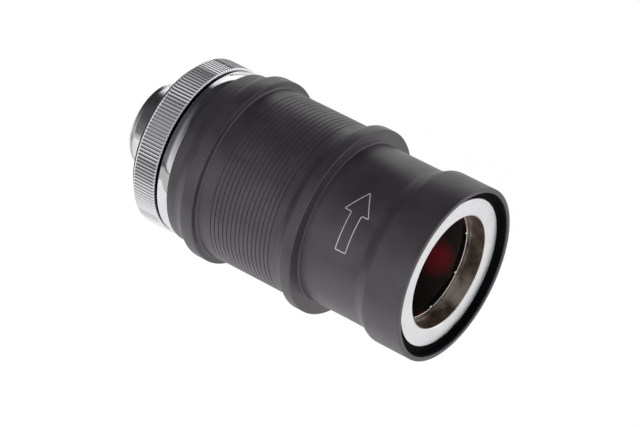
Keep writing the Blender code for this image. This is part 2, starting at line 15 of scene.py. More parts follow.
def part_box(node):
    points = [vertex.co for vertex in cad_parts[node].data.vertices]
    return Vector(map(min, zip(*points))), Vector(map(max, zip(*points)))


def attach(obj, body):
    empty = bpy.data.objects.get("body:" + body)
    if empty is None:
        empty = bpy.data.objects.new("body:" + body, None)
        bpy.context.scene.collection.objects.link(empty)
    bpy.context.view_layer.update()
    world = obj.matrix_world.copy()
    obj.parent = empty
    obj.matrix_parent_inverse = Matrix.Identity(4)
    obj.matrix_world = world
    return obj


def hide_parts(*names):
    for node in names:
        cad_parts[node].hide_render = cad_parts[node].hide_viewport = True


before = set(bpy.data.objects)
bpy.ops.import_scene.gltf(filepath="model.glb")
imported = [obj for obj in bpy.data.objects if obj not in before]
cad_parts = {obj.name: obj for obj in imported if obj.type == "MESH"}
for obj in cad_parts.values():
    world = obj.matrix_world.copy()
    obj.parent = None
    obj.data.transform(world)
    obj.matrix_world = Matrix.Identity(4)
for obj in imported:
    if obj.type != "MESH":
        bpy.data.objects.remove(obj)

bl_info = {
    "name": "Cartridge bottom bracket",
    "version": (1, 0, 0),
    "blender": (4, 5, 0),
    "location": "View3D > Sidebar > Bracket",
    "description": "Builds the fine pieces, finishes and studio of a cartridge bottom bracket",
    "category": "Add Mesh",
}

MM = 0.001
TAU = 2 * math.pi
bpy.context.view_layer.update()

# Facets: round an outer piece, round an inner one, on a rounded corner and on a broken one
STEPS = 168
INNER_STEPS = 96
CORNER_SEGMENTS = 4
BROKEN_SEGMENTS = 2
BALL_COLUMNS = 32
BALL_ROWS = 20
TOOL_COLUMNS = 16
TOOL_ROWS = 10
MARK_SLICES = 36

# Angles above which an edge is drawn sharp, and above which an outline's corner is broken
SHARP_ANGLE = math.radians(38)
KNURL_SHARP = math.radians(33)
CORNER_ANGLE = math.radians(45)

# Distances below which points are one: in a CAD mesh, and in a spun or sliced one
CAD_WELD = 0.002 * MM
WELD = 0.0005 * MM


# ---------------------------------------------------------------- places, read from the frame

def low(node):
    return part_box(node)[0].x


def high(node):
    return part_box(node)[1].x


def radii(node):
    return [math.hypot(vert.co.y, vert.co.z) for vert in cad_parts[node].data.vertices]


def rim(node):
    return max(radii(node))


def bore(node):
    return min(radii(node))


RIM = high("sleeve_housing")
SLEEVE_END = low("sleeve_housing")
LAND = rim("sleeve_housing")
FACE = high("right_top_hat")
SOCKET = bore("right_top_hat")
FLANGE = rim("right_top_hat")
RING_BACK = high("knurled_adjuster_ring")
RING_FACE = low("knurled_adjuster_ring")
RING_BORE = bore("knurled_adjuster_ring")
CREST = rim("knurled_adjuster_ring")

# Sleeve: stations of the lands, and radii of its plain stretches
LAND_SPAN = 28.8 * MM
FRONT_LAND_WIDTH = 2.6 * MM
REAR_LAND_WIDTH = 3.0 * MM
FRONT_LAND_SLOPE = 1.8 * MM
REAR_LAND_SLOPE = 2.5 * MM
NECK_LENGTH = 14.85 * MM
CAP_SLOPE = 2.6 * MM
LAND_HEIGHT = 1.55 * MM
REAR_BAND_STEP = 0.12 * MM
CAP_WALL = 1.05 * MM
NECK_WALL = 1.7 * MM
FIT = 0.25 * MM
GAP = 0.3 * MM
GROOVE_START = 8.2 * MM
GROOVE_END = -8.1 * MM

# Sleeve: roundings of its corners
RIM_EDGE = 0.3 * MM
MOUTH_EDGE = 0.12 * MM
CAP_EDGE = 0.55 * MM
SLOPE_EDGE = 0.5 * MM
BAND_EDGE = 0.6 * MM

# Arrow: its lengths along the neck and across it, its width of line and its place round the sleeve
ARROW_TAIL = -6.6 * MM
ARROW_TIP = 7.2 * MM
ARROW_HEAD = 5.4 * MM
ARROW_SHAFT = 1.35 * MM
ARROW_BARB = 3.1 * MM
ARROW_EDGE = 0.3 * MM
ARROW_LINE = 0.18 * MM
ARROW_DEPTH = 0.05 * MM
ARROW_PROUD = 0.012 * MM
ARROW_STATION = 23.6 * MM
ARROW_ANGLE = math.radians(41.5)

# Broken edges of the refined pieces
SPINDLE_BREAK = 0.16 * MM
CUP_BREAK = 0.09 * MM
RACE_BREAK = 0.12 * MM
LINER_BREAK = 0.1 * MM
KNURL_CHAMFER = 0.16 * MM
COLUMNS_PER_TOOTH = 3

# Middle of the painted highlight on the socket's wall, and its reach
PAINTED_HIGHLIGHT_PATCH = (37.4 * MM, 5.2 * MM, -11.3 * MM)
PAINTED_HIGHLIGHT_REACH = 6.5 * MM

# Middle of the patch where the liner shows dark red, and its reach
RED_PATCH = (29.8 * MM, 9.2 * MM, -7.6 * MM)
RED_REACH = 4.8 * MM

# Table: its half width, how far its lit part reaches in front of the spindle, and how soon it fades
TABLE_SIZE = 3.0
TABLE_LIT = 62 * MM
TABLE_FADE = 3 * MM
TABLE_DROP = 0.02 * MM

# Tent: the brightness of its walls
DARK_WALL = (0.030, 0.030, 0.032)
BACK_WALL = (1.25, 1.25, 1.25)
FRONT_WALL = (0.70, 0.70, 0.71)
RIGHT_WALL = (0.90, 0.90, 0.90)

# Tent: parts of a direction between which a wall turns dark, and between which it gives way to the next
BACK_WALL_TOP = (0.36, 0.46)
FRONT_WALL_TOP = (0.12, 0.90)
BACK_TO_FRONT = (0.15, -0.25)
LEFT_END = (-0.62, -0.82)
RIGHT_END = (0.60, 0.86)

SOFTBOX_PLACE = (0.05, -0.72, 0.34)
SOFTBOX_SIZE = (0.9, 0.35)
SENSOR_WIDTH = 36.0
NEAR_CLIP = 0.01


# ---------------------------------------------------------------- settings

class SleeveSettings(PropertyGroup):
    groove_count: IntProperty(name="Grooves", description="Fine grooves round the barrel", default=15, min=0)
    groove_depth: FloatProperty(name="Groove depth", description="Depth of a barrel groove",
                                default=0.17 * MM, unit="LENGTH", precision=5)
    groove_width: FloatProperty(name="Groove width", description="Width of a barrel groove at the surface",
                                default=0.29 * MM, unit="LENGTH", precision=5)
    blend: FloatProperty(name="Neck blend", description="Size of the blend at the foot of the neck",
                         default=0.8 * MM, unit="LENGTH", precision=5)
    edge: FloatProperty(name="Edge", description="Rounding of the sleeve's outer edges",
                        default=0.22 * MM, unit="LENGTH", precision=5)
    colour: FloatVectorProperty(name="Anodising", description="Colour of the black anodised metal",
                                default=(0.044, 0.038, 0.043), size=3, subtype="COLOR", min=0, max=1)
    mark_colour: FloatVectorProperty(name="Mark", description="Colour of the engraved arrow",
                                     default=(0.74, 0.72, 0.73), size=3, subtype="COLOR", min=0, max=1)


class AdjusterSettings(PropertyGroup):
    teeth: IntProperty(name="Teeth", description="Straight knurl teeth round the ring", default=152, min=12)
    tooth_depth: FloatProperty(name="Tooth depth", description="Crest to root of a knurl tooth",
                               default=0.25 * MM, unit="LENGTH", precision=5)
    seam: FloatProperty(name="Seam", description="Width of the seam between the knurl and the collar",
                        default=0.36 * MM, unit="LENGTH", precision=5)
    undercut: FloatProperty(name="Undercut", description="Crest of the knurl down to the plain seat",
                            default=1.5 * MM, unit="LENGTH", precision=5)
    front_edge: FloatProperty(name="Front edge", description="Chamfer at the ring's outer face",
                              default=0.5 * MM, unit="LENGTH", precision=5)
    colour: FloatVectorProperty(name="Chrome", description="Colour of the polished plating",
                                default=(0.94, 0.94, 0.95), size=3, subtype="COLOR", min=0, max=1)


class SocketSettings(PropertyGroup):
    notches: IntProperty(name="Notches", description="Notches round the lock ring's bore", default=8, min=0)
    notch_radius: FloatProperty(name="Notch radius", description="Radius of a lock ring notch",
                                default=0.42 * MM, unit="LENGTH", precision=5)
    bevel: FloatProperty(name="Bore bevel", description="Bevel at the mouth of the socket",
                         default=0.3 * MM, unit="LENGTH", precision=5)
    face_colour: FloatVectorProperty(name="Silver face", description="Colour of the flange's face",
                                     default=(0.90, 0.90, 0.91), size=3, subtype="COLOR", min=0, max=1)
    bore_colour: FloatVectorProperty(name="Bore", description="Colour of the oiled socket wall",
                                     default=(0.33, 0.245, 0.20), size=3, subtype="COLOR", min=0, max=1)
    liner_colour: FloatVectorProperty(name="Liner", description="Colour of the coating inside the spindle",
                                      default=(0.27, 0.016, 0.026), size=3, subtype="COLOR", min=0, max=1)


class StudioSettings(PropertyGroup):
    azimuth: FloatProperty(name="Azimuth", description="Camera's turn round the vertical",
                           default=math.radians(37.75), subtype="ANGLE", unit="ROTATION")
    elevation: FloatProperty(name="Elevation", description="Camera's height above the horizon",
                             default=math.radians(41.17), subtype="ANGLE", unit="ROTATION")
    distance: FloatProperty(name="Distance", description="Camera to the point it aims at",
                            default=0.672, unit="LENGTH")
    aim: FloatVectorProperty(name="Aim", description="Point that the camera aims at",
                             default=(0.0145, -0.0108, 0.0101), size=3, subtype="TRANSLATION")
    lens: FloatProperty(name="Lens", description="Focal length in millimetres", default=185.6)
    table_glow: FloatProperty(name="Table glow", description="Light off the table under the object",
                              default=0.78)
    front_glow: FloatProperty(name="Front glow", description="Light off the table in front", default=0.42)
    backdrop: FloatProperty(name="Backdrop", description="Brightness of the table as seen", default=0.97)
    key: FloatProperty(name="Key light", description="Power of the large front light", default=5.0)


class BracketSettings(PropertyGroup):
    sleeve: PointerProperty(type=SleeveSettings)
    adjuster: PointerProperty(type=AdjusterSettings)
    socket: PointerProperty(type=SocketSettings)
    studio: PointerProperty(type=StudioSettings)


def settings():
    return bpy.context.scene.bracket


# ---------------------------------------------------------------- mesh building

def outline_from(points):
    """A bmesh with one flat face in the XZ plane, its corners rounded where a point says how much."""
    blank = bmesh.new()
    corners = [blank.verts.new((station, 0.0, radius)) for station, radius, _ in points]
    blank.faces.new(corners)
    sizes = sorted({rounding for _, _, rounding in points if rounding})
    for size in sizes:
        chosen = [corner for corner, point in zip(corners, points) if point[2] == size]
        bmesh.ops.bevel(blank, geom=chosen, offset=size, offset_type="OFFSET", segments=CORNER_SEGMENTS,
                        profile=0.5, affect="VERTICES", clamp_overlap=False, material=-1)
    return blank


def section_of(node):
    """A bmesh with the flat face in the XZ plane that a turned CAD node was made from."""
    blank = bmesh.new()
    blank.from_mesh(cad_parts[node].data)
    bmesh.ops.remove_doubles(blank, verts=blank.verts, dist=CAD_WELD)
    kept = 0.01 * MM
    away = [vert for vert in blank.verts if abs(vert.co.y) > kept or vert.co.z > -kept]
    bmesh.ops.delete(blank, geom=away, context="VERTS")
    bmesh.ops.delete(blank, geom=blank.faces[:], context="FACES_ONLY")
    bmesh.ops.scale(blank, vec=(1, 1, -1), verts=blank.verts[:])
    bmesh.ops.contextual_create(blank, geom=blank.edges[:])
    return blank


def spin_outline(blank, steps):
    """Spins the outline's face round X into one closed ring, with its faces pointing out."""
    bmesh.ops.delete(blank, geom=blank.faces[:], context="FACES_ONLY")
    bmesh.ops.spin(blank, geom=blank.verts[:] + blank.edges[:], cent=(0, 0, 0), axis=(1, 0, 0), angle=TAU,
                   steps=steps, use_merge=True, use_duplicate=False)
    bmesh.ops.remove_doubles(blank, verts=blank.verts, dist=WELD)
    bmesh.ops.recalc_face_normals(blank, faces=blank.faces[:])


def finish_piece(name, blank, body, material, replaced=(), sharp=SHARP_ANGLE):
    """An object for the bmesh, riding on its body in the place of the CAD nodes it replaces."""
    mesh = bpy.data.meshes.new(name)
    blank.to_mesh(mesh)
    blank.free()
    mesh.shade_smooth()
    mesh.set_sharp_from_angle(angle=sharp)
    piece = bpy.data.objects.new(name, mesh)
    bpy.context.scene.collection.objects.link(piece)
    mesh.materials.append(material)
    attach(piece, body)
    if replaced:
        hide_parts(*replaced)
    return piece


def turned(name, points, body, material, replaced):
    """A piece turned from the outline's points."""
    blank = outline_from(points)
    spin_outline(blank, STEPS)
    return finish_piece(name, blank, body, material, replaced)


def refined(node, body, material, edge=0.0, steps=INNER_STEPS):
    """A rounder copy of a turned CAD node, with its corners broken by edge."""
    blank = section_of(node)
    if edge:
        corners = [vert for vert in blank.verts if is_corner(vert)]
        bmesh.ops.bevel(blank, geom=corners, offset=edge, offset_type="OFFSET", segments=BROKEN_SEGMENTS,
                        profile=0.5, affect="VERTICES", clamp_overlap=True, material=-1)
    spin_outline(blank, steps)
    return finish_piece(f"{node}_fine", blank, body, material, [node])


def is_corner(vert):
    """True where the outline turns by more than half a right angle."""
    arms = [edge.other_vert(vert).co - vert.co for edge in vert.link_edges]
    return len(arms) == 2 and math.pi - arms[0].angle(arms[1]) > CORNER_ANGLE


def recoat(name, coat):
    """The named finish on a CAD node that keeps its shape."""
    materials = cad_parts[name].data.materials
    materials.clear()
    materials.append(finish(coat))


# ---------------------------------------------------------------- shared shader groups

# Where a Mix node keeps its colour sockets
MIX_FACTOR, MIX_FIRST, MIX_SECOND, MIX_RESULT = 0, 6, 7, 2


def new_group(name, takes, gives):
    """An empty group of nodes with these inputs and their defaults, and these outputs."""
    group = bpy.data.node_groups.new(name, "ShaderNodeTree")
    for label, default in takes.items():
        socket = group.interface.new_socket(name=label, in_out="INPUT", socket_type="NodeSocketFloat")
        socket.default_value = default
    for label in gives:
        group.interface.new_socket(name=label, in_out="OUTPUT", socket_type="NodeSocketFloat")
    return group, group.nodes.new("NodeGroupInput").outputs, group.nodes.new("NodeGroupOutput").inputs


def node(tree, kind, **inputs):
    """A node of that kind, with named inputs set to values or linked to sockets."""
    made = tree.nodes.new(kind)
    for key, value in inputs.items():
        place(tree, made, key.replace("_", " "), value)
    return made


def place(tree, made, key, value):
    """Sets an input to a value, or links a socket to it."""
    target = made.inputs[key]
    if isinstance(value, bpy.types.NodeSocket):
        tree.links.new(value, target)
    else:
        target.default_value = value


def maths(tree, operation, *values):
    """The result of one operation on values or sockets."""
    made = tree.nodes.new("ShaderNodeMath")
    made.operation = operation
    for i, value in enumerate(values):
        place(tree, made, i, value)
    return made.outputs[0]


def mixed_colour(tree, factor, first, second):
    """The colour that lies the factor's share of the way from first to second."""
    made = tree.nodes.new("ShaderNodeMix")
    made.data_type = "RGBA"
    place(tree, made, MIX_FACTOR, factor)
    place(tree, made, MIX_FIRST, first)
    place(tree, made, MIX_SECOND, second)
    return made.outputs[MIX_RESULT]


def opaque(colour):
    return (*colour, 1.0)


def grey(value):
    return (value, value, value, 1.0)


def scaled(colour, share):
    return tuple(share * part for part in colour)


def own_place(tree):
    """The place on the piece, in its own frame."""
    return node(tree, "ShaderNodeTexCoord").outputs["Object"]


def line_noise(tree, along, detail=2.0):
    """Noise that changes with one value only."""
    made = tree.nodes.new("ShaderNodeTexNoise")
    made.noise_dimensions = "1D"
    place(tree, made, "W", along)
    place(tree, made, "Scale", 1.0)
    place(tree, made, "Detail", detail)
    return made.outputs["Fac"]


def ramp(tree, value, low_end, high_end):
    """The value's share of the way from low_end to high_end, held between 0 and 1."""
    made = node(tree, "ShaderNodeMapRange", Value=value, From_Min=low_end, From_Max=high_end)
    return made.outputs["Result"]


def turning_group():
    """Fine lathe lines: a height and a mask that change along X, with a slow drift round the piece."""
    group, given, gives = new_group("lathe_lines", {"Lines per metre": 6000.0, "Drift": 0.35},
                                    ("Height", "Mask"))
    spot = own_place(group)
    parts = node(group, "ShaderNodeSeparateXYZ", Vector=spot)
    drift = node(group, "ShaderNodeTexNoise", Vector=spot, Scale=60.0, Detail=2.0)
    wander = maths(group, "MULTIPLY", drift.outputs["Fac"], given["Drift"])
    along = maths(group, "MULTIPLY", parts.outputs["X"], given["Lines per metre"])
    across = maths(group, "ADD", along, wander)
    coarse = line_noise(group, maths(group, "MULTIPLY", across, 0.11))
    group.links.new(line_noise(group, across, 3.0), gives["Height"])
    group.links.new(ramp(group, coarse, 0.3, 0.7), gives["Mask"])
    return group


def facing_group():
    """Fine facing lines on flat ends: a height that changes with the distance from the axis."""
    group, given, gives = new_group("facing_lines", {"Lines per metre": 5000.0}, ("Height", "Radius"))
    parts = node(group, "ShaderNodeSeparateXYZ", Vector=own_place(group))
    square = maths(group, "ADD", maths(group, "MULTIPLY", parts.outputs["Y"], parts.outputs["Y"]),
                   maths(group, "MULTIPLY", parts.outputs["Z"], parts.outputs["Z"]))
    distance = maths(group, "SQRT", square)
    lines = line_noise(group, maths(group, "MULTIPLY", distance, given["Lines per metre"]))
    group.links.new(lines, gives["Height"])
    group.links.new(distance, gives["Radius"])
    return group


def grain_group():
    """Blasted grain and slow mottling: a fine height, and a mask that varies over the piece."""
    group, given, gives = new_group("blasted_grain", {"Grain scale": 9000.0, "Mottle scale": 140.0},
                                    ("Height", "Mottle"))
    spot = own_place(group)
    grain = node(group, "ShaderNodeTexNoise", Vector=spot, Scale=given["Grain scale"], Detail=2.0)
    mottle = node(group, "ShaderNodeTexNoise", Vector=spot, Scale=given["Mottle scale"], Detail=4.0,
                  Roughness=0.6)
    group.links.new(grain.outputs["Fac"], gives["Height"])
    group.links.new(ramp(group, mottle.outputs["Fac"], 0.35, 0.68), gives["Mottle"])
    return group


def edge_sheen_group():
    """Painted highlight on the convex edges: a mask of them, broken up by noise."""
    group, given, gives = new_group("painted_edge_sheen", {"Start": 0.52, "End": 0.60}, ("Mask",))
    edges = node(group, "ShaderNodeNewGeometry").outputs["Pointiness"]
    broken = node(group, "ShaderNodeTexNoise", Vector=own_place(group), Scale=900.0, Detail=4.0)
    band = ramp(group, edges, given["Start"], given["End"])
    patchy = ramp(group, broken.outputs["Fac"], 0.35, 0.65)
    group.links.new(maths(group, "MULTIPLY", band, patchy), gives["Mask"])
    return group


def shared(name):
    """The named group, made the first time that it is asked for."""
    makers = {"lathe_lines": turning_group, "facing_lines": facing_group, "blasted_grain": grain_group,
              "painted_edge_sheen": edge_sheen_group}
    return bpy.data.node_groups.get(name) or makers[name]()


def place_group(tree, name, **values):
    """A shared group in the tree, with its named inputs set."""
    made = tree.nodes.new("ShaderNodeGroup")
    made.node_tree = shared(name)
    for key, value in values.items():
        made.inputs[key.replace("_", " ")].default_value = value
    return made


# ---------------------------------------------------------------- finishes

def new_material(name, colour, roughness, metallic, **sockets):
    """A material whose Principled shader has these plain values, with its tree and its shader."""
    material = bpy.data.materials.new(name)
    material.use_nodes = True
    tree = material.node_tree
    shader = tree.nodes["Principled BSDF"]
    shader.inputs["Base Color"].default_value = opaque(colour)
    shader.inputs["Roughness"].default_value = roughness
    shader.inputs["Metallic"].default_value = metallic
    for key, value in sockets.items():
        shader.inputs[key.replace("_", " ")].default_value = value
    return material, tree, shader


def bump(tree, shader, height, strength, distance):
    """Fine relief from a height."""
    made = node(tree, "ShaderNodeBump", Height=height, Strength=strength, Distance=distance)
    tree.links.new(made.outputs["Normal"], shader.inputs["Normal"])


def tinted(tree, shader, mask, first, second):
    """Base colour between two colours by a mask."""
    tree.links.new(mixed_colour(tree, mask, opaque(first), opaque(second)), shader.inputs["Base Color"])


def roughened(tree, shader, mask, smooth, rough):
    """Roughness between two values by a mask."""
    made = node(tree, "ShaderNodeMapRange", Value=mask, To_Min=smooth, To_Max=rough)
    tree.links.new(made.outputs["Result"], shader.inputs["Roughness"])


def black_anodised(name, colour, roughness, painted_highlight_colour=(0.12, 0.115, 0.12)):
    """Blasted and anodised aluminium: dark, faintly mottled, with fine lathe lines and a painted highlight
    on its edges.
    """
    material, tree, shader = new_material(name, colour, roughness, 0.0, Specular_IOR_Level=0.85)
    grain = place_group(tree, "blasted_grain", Grain_scale=7000.0, Mottle_scale=120.0)
    lines = place_group(tree, "lathe_lines", Lines_per_metre=4500.0, Drift=0.4)
    sheen = place_group(tree, "painted_edge_sheen", Start=0.53, End=0.62)
    tone = mixed_colour(tree, grain.outputs["Mottle"], opaque(scaled(colour, 0.82)),
                        opaque(scaled(colour, 1.22)))
    # Painted highlight: the convex edges are lightened towards a brighter colour, as a sheen.
    sheen_share = maths(tree, "MULTIPLY", sheen.outputs["Mask"], 0.5)
    tree.links.new(mixed_colour(tree, sheen_share, tone, opaque(painted_highlight_colour)), shader.inputs["Base Color"])
    roughened(tree, shader, grain.outputs["Mottle"], roughness - 0.05, roughness + 0.08)
    turned_lines = maths(tree, "MULTIPLY", lines.outputs["Height"], 0.6)
    height = maths(tree, "ADD", grain.outputs["Height"], turned_lines)
    bump(tree, shader, height, 0.22, 0.03 * MM)
    return material


def polished_chrome(name, colour, roughness):
    """Bright plating over turned steel: faint lathe lines and light handling smudges."""
    material, tree, shader = new_material(name, colour, roughness, 1.0)
    grain = place_group(tree, "blasted_grain", Grain_scale=2500.0, Mottle_scale=260.0)
    lines = place_group(tree, "lathe_lines", Lines_per_metre=5200.0, Drift=0.2)
    tinted(tree, shader, grain.outputs["Mottle"], colour, scaled(colour, 0.9))
    roughened(tree, shader, grain.outputs["Mottle"], roughness * 0.8, roughness * 1.9)
    bump(tree, shader, lines.outputs["Height"], 0.10, 0.01 * MM)
    return material


def knurl_chrome(name, colour, shade_colour=(0.035, 0.035, 0.037)):
    """Bright plating on the knurl, with painted shade on the seat of the undercut behind it."""
    material, tree, shader = new_material(name, colour, 0.13, 1.0)
    grain = place_group(tree, "blasted_grain", Grain_scale=2500.0, Mottle_scale=260.0)
    facing = place_group(tree, "facing_lines", Lines_per_metre=4200.0)
    parts = node(tree, "ShaderNodeSeparateXYZ", Vector=own_place(tree))
    # Painted shade: the seat behind the teeth is darkened where the narrow undercut lies in shadow.
    behind = ramp(tree, parts.outputs["X"], RING_BACK - 0.46 * MM, RING_BACK - 0.34 * MM)
    deep = ramp(tree, facing.outputs["Radius"], CREST - 0.40 * MM, CREST - 0.60 * MM)
    painted_shade_mask = maths(tree, "MULTIPLY", behind, deep)
    tinted(tree, shader, painted_shade_mask, colour, shade_colour)
    roughened(tree, shader, grain.outputs["Mottle"], 0.10, 0.20)
    bump(tree, shader, grain.outputs["Height"], 0.05, 0.01 * MM)
    return material


def distance_from(tree, point):
    """How far the surface is from a point of the piece."""
    made = tree.nodes.new("ShaderNodeVectorMath")
    made.operation = "DISTANCE"
    place(tree, made, 0, own_place(tree))
    place(tree, made, 1, point)
    return made.outputs["Value"]


def silver_and_bore(name, painted_highlight_colour=(0.98, 0.88, 0.78)):
    """The bush: a bright faced flange, and a brown oiled wall inside the socket with a painted highlight on
    it.
    """
    chosen = settings().socket
    material, tree, shader = new_material(name, chosen.face_colour, 0.22, 1.0)
    facing = place_group(tree, "facing_lines", Lines_per_metre=4200.0)
    grain = place_group(tree, "blasted_grain", Grain_scale=2200.0, Mottle_scale=260.0)
    inside = ramp(tree, facing.outputs["Radius"], SOCKET + 0.10 * MM, SOCKET + 0.02 * MM)
    face = mixed_colour(tree, grain.outputs["Mottle"], opaque(chosen.face_colour),
                        opaque(scaled(chosen.face_colour, 0.93)))
    wall = mixed_colour(tree, grain.outputs["Mottle"], opaque(chosen.bore_colour),
                        opaque(scaled(chosen.bore_colour, 0.3)))
    # Painted highlight: a beige patch on the wall round one point, broken up by mottling.
    highlight_mask = ramp(tree, distance_from(tree, PAINTED_HIGHLIGHT_PATCH), PAINTED_HIGHLIGHT_REACH, 0.5 * MM)
    broken = ramp(tree, grain.outputs["Mottle"], 0.95, 0.25)
    wall = mixed_colour(tree, maths(tree, "MULTIPLY", highlight_mask, broken), wall, opaque(painted_highlight_colour))
    tree.links.new(mixed_colour(tree, inside, face, wall), shader.inputs["Base Color"])
    bare = maths(tree, "SUBTRACT", 1.0, maths(tree, "MULTIPLY", inside, 0.35))
    tree.links.new(bare, shader.inputs["Metallic"])
    dull = maths(tree, "ADD", maths(tree, "MULTIPLY", grain.outputs["Mottle"], 0.08), 0.30)
    tree.links.new(dull, shader.inputs["Roughness"])
    bump(tree, shader, facing.outputs["Height"], 0.25, 0.02 * MM)
    return material


def coated(name, colour, roughness, metallic=0.0, grain_scale=5000.0, **sockets):
    """A plain coated, moulded or rubber surface with grain and slow mottling."""
    material, tree, shader = new_material(name, colour, roughness, metallic, **sockets)
    grain = place_group(tree, "blasted_grain", Grain_scale=grain_scale, Mottle_scale=300.0)
    tinted(tree, shader, grain.outputs["Mottle"], colour, scaled(colour, 0.72))
    roughened(tree, shader, grain.outputs["Mottle"], roughness, min(1.0, roughness + 0.1))
    bump(tree, shader, grain.outputs["Height"], 0.2, 0.02 * MM)
    return material


def red_liner(name, colour, far_colour=(0.022, 0.017, 0.017)):
    """Dark red at one patch, turning near black away from it."""
    material, tree, shader = new_material(name, colour, 0.38, 0.0, Specular_IOR_Level=0.3)
    grain = place_group(tree, "blasted_grain", Grain_scale=3000.0, Mottle_scale=110.0)
    # Dark red near the patch, going near black with distance from it and with the mottling.
    patch_falloff = ramp(tree, distance_from(tree, RED_PATCH), 0.3 * MM, RED_REACH)
    black = maths(tree, "MAXIMUM", patch_falloff, maths(tree, "MULTIPLY", grain.outputs["Mottle"], 0.7))
    tinted(tree, shader, black, colour, far_colour)
    roughened(tree, shader, grain.outputs["Mottle"], 0.34, 0.5)
    bump(tree, shader, grain.outputs["Height"], 0.15, 0.02 * MM)
    return material


def ground_steel(name, colour, roughness):
    """Ground steel: fine lines along the turning direction and a little mottling."""
    material, tree, shader = new_material(name, colour, roughness, 1.0)
    lines = place_group(tree, "lathe_lines", Lines_per_metre=7000.0, Drift=0.2)
    tinted(tree, shader, lines.outputs["Mask"], colour, scaled(colour, 0.85))
    roughened(tree, shader, lines.outputs["Mask"], roughness, roughness + 0.08)
    bump(tree, shader, lines.outputs["Height"], 0.3, 0.015 * MM)
    return material


def finish(name):
    """The named finish, made the first time that it is asked for."""
    chosen = settings()
    makers = {
        "anodised_black": lambda n: black_anodised(n, chosen.sleeve.colour, 0.38),
        "chrome_cup": lambda n: polished_chrome(n, chosen.adjuster.colour, 0.06),
        "chrome_knurl": lambda n: knurl_chrome(n, (0.97, 0.97, 0.98)),
        "chrome_spindle": lambda n: polished_chrome(n, (0.92, 0.92, 0.93), 0.16),
        "chrome_lock_ring": lambda n: polished_chrome(n, (0.86, 0.84, 0.80), 0.12),
        "silver_and_bore": silver_and_bore,
        "liner_coat": lambda n: red_liner(n, chosen.socket.liner_colour),
        "seal_rubber": lambda n: coated(n, (0.0035, 0.0035, 0.004), 0.7, grain_scale=3500.0,
                                        Specular_IOR_Level=0.08),
        "steel_race": lambda n: ground_steel(n, (0.60, 0.60, 0.62), 0.16),
        "steel_ball": lambda n: polished_chrome(n, (0.74, 0.74, 0.76), 0.04),
        "steel_spring": lambda n: ground_steel(n, (0.20, 0.20, 0.22), 0.32),
        "steel_shield": lambda n: ground_steel(n, (0.34, 0.34, 0.36), 0.30),
        "nylon_cage": lambda n: coated(n, (0.46, 0.30, 0.11), 0.5),
        "washer_plastic": lambda n: coated(n, (0.045, 0.045, 0.05), 0.45, grain_scale=3000.0),
        "engraved_mark": lambda n: coated(n, chosen.sleeve.mark_colour, 0.55, 0.3),
    }
    return bpy.data.materials.get(name) or makers[name](name)


# ---------------------------------------------------------------- sleeve

def groove_points(barrel, count, depth, width):
    """The points of evenly spaced grooves between the plain bands, running from the front to the rear."""
    points = []
    pitch = (GROOVE_START - GROOVE_END) / max(count, 1)
    for i in range(count):
        middle = GROOVE_START - (i + 0.5) * pitch
        points += [(middle + width / 2, barrel, 0), (middle + width / 6, barrel - depth, 0),
                   (middle - width / 6, barrel - depth, 0), (middle - width / 2, barrel, 0)]
    return points


def build_sleeve():
    """The one-piece sleeve: cap, neck, two lands, grooved barrel and rear band, with what it carries."""
    chosen = settings().sleeve
    edge, blend = chosen.edge, chosen.blend
    barrel = LAND - LAND_HEIGHT
    band = barrel - REAR_BAND_STEP
    cap = rim("right_outer_race") + FIT + CAP_WALL
    neck_bore = rim("hollow_spindle") + 2 * GAP
    neck = neck_bore + NECK_WALL
    cap_bore = rim("right_outer_race") + FIT
    shoulder = low("right_outer_race") - GAP
    cup_seat = rim("cup_o_ring") + FIT
    seat_end = high("cup_o_ring") + GAP
    front, rear = LAND_SPAN / 2, -LAND_SPAN / 2
    front_back = front - FRONT_LAND_WIDTH
    rear_front = rear + REAR_LAND_WIDTH
    cap_back = front + NECK_LENGTH + CAP_SLOPE
    outline = [
        (RIM, cap, RIM_EDGE), (cap_back, cap, CAP_EDGE), (cap_back - CAP_SLOPE, neck, blend),
        (front, neck, 0.4 * blend), (front, LAND, 1.3 * edge), (front_back, LAND, 1.3 * edge),
        (front_back - FRONT_LAND_SLOPE, barrel, SLOPE_EDGE),
        *groove_points(barrel, chosen.groove_count, chosen.groove_depth, chosen.groove_width),
        (rear_front, barrel, SLOPE_EDGE), (rear_front, LAND, edge), (rear, LAND, edge),
        (rear - REAR_LAND_SLOPE, band, BAND_EDGE), (SLEEVE_END, band, edge),
        (SLEEVE_END, cup_seat, 0), (seat_end, cup_seat, 0), (seat_end, neck_bore, 0),
        (shoulder, neck_bore, 0), (shoulder, cap_bore, 0), (RIM, cap_bore, MOUTH_EDGE),
    ]
    turned("sleeve_turned", outline, "housing", finish("anodised_black"), ["sleeve_housing"])
    build_mark(neck)
    build_right_seal(cap_bore)


def build_right_seal(cap_bore):
    """The rubber seal behind the flange, with a thin near-black collar over the wall of the sleeve's mouth:
    a moulded collar that also stands in for the shade in that recess.
    """
    back, face = low("right_shaft_seal"), high("right_shaft_seal")
    lip, wall = bore("right_shaft_seal"), rim("right_shaft_seal")
    # Painted shade: the collar is a dark sheet over the mouth's wall, which lies in shadow.
    collar, collar_end = cap_bore - 0.04 * MM, RIM - 0.3 * MM
    outline = [
        (collar_end, collar, 0.05 * MM), (back, collar, 0.05 * MM), (back, lip, 0.1 * MM),
        (face, lip, 0.1 * MM), (face, wall, 0.12 * MM), (collar_end, wall, 0.05 * MM),
    ]
    turned("right_seal_moulded", outline, "housing", finish("seal_rubber"), ["right_shaft_seal"])


